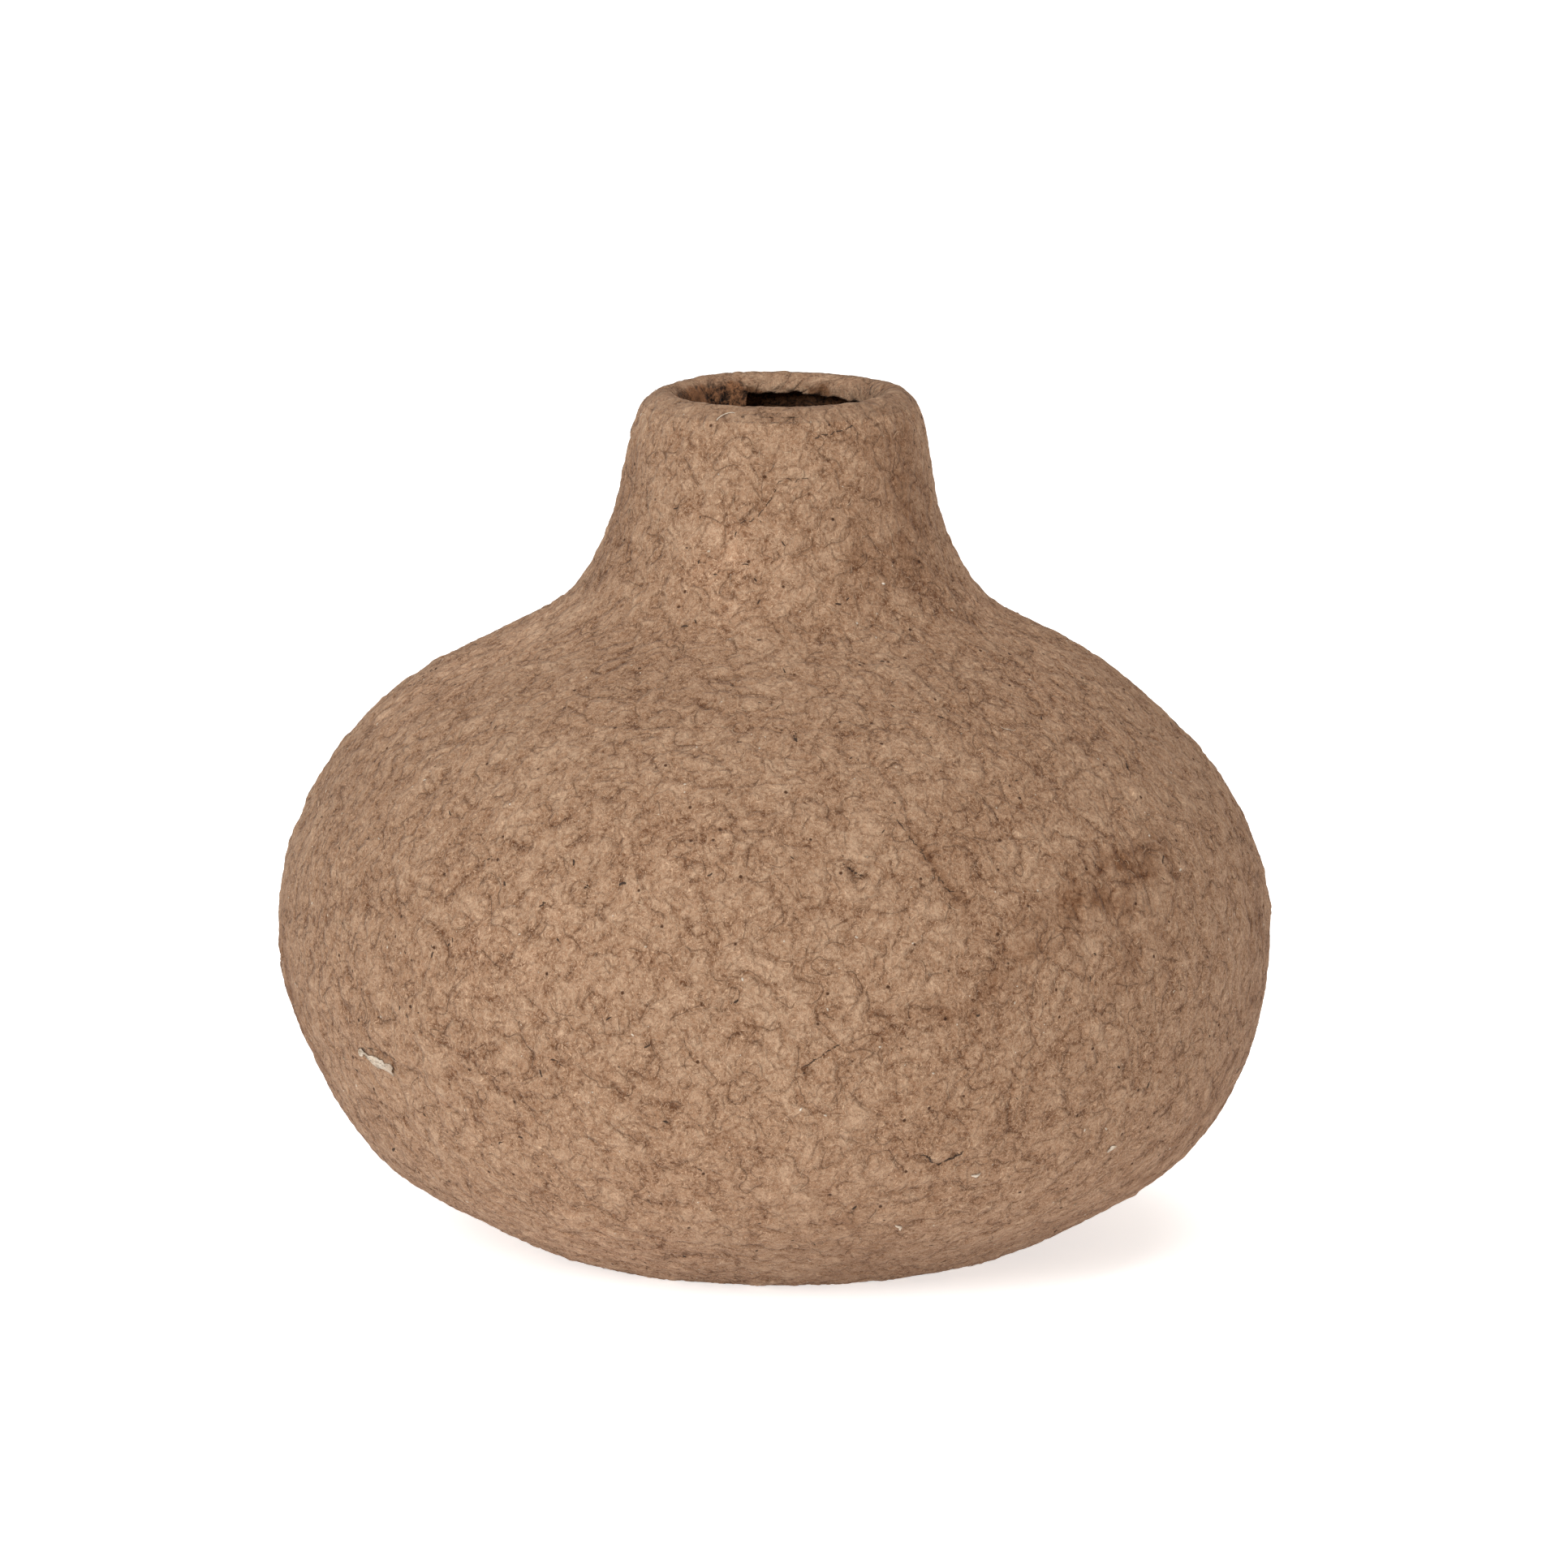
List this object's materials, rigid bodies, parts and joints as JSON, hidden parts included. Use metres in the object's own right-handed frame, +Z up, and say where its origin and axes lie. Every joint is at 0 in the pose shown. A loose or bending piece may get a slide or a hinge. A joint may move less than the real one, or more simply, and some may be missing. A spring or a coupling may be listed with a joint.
{
  "type": "bud vase",
  "caption": "Small round-bellied bottle vase of papier-mache, with a short narrow neck, a rolled lip and a flat foot, for a few dry stems.",
  "frame": {"origin": "centre of the flat foot, on the surface that the vase stands on", "axes": "+Z up through the mouth, +X to the right as seen from the front, +Y away from the viewer"},
  "size_m": [0.1803, 0.1799, 0.155],
  "materials": {
    "pulp_skin": "dry matt brown paper pulp, fibrous and lumpy",
    "rolled_paper": "matt brown paper, finer and smoother than the skin",
    "inner_shell": "matt dark reddish-brown layered paper, hard with glue",
    "band_paper": "glued brown paper strip",
    "white_paper": "torn white paper, matt"
  },
  "bodies": {
    "root": {"base_dish": "inner_shell", "belly_ring": "inner_shell", "upper_dome": "inner_shell", "base_joint_band": "band_paper", "belly_joint_band": "band_paper", "pulp_coat": "pulp_skin", "rim_roll": "rolled_paper", "white_paper_scrap": "white_paper", "paper_fleck_right": "white_paper", "paper_fleck_front": "white_paper", "paper_fleck_low": "white_paper"}
  },
  "joints": []
}
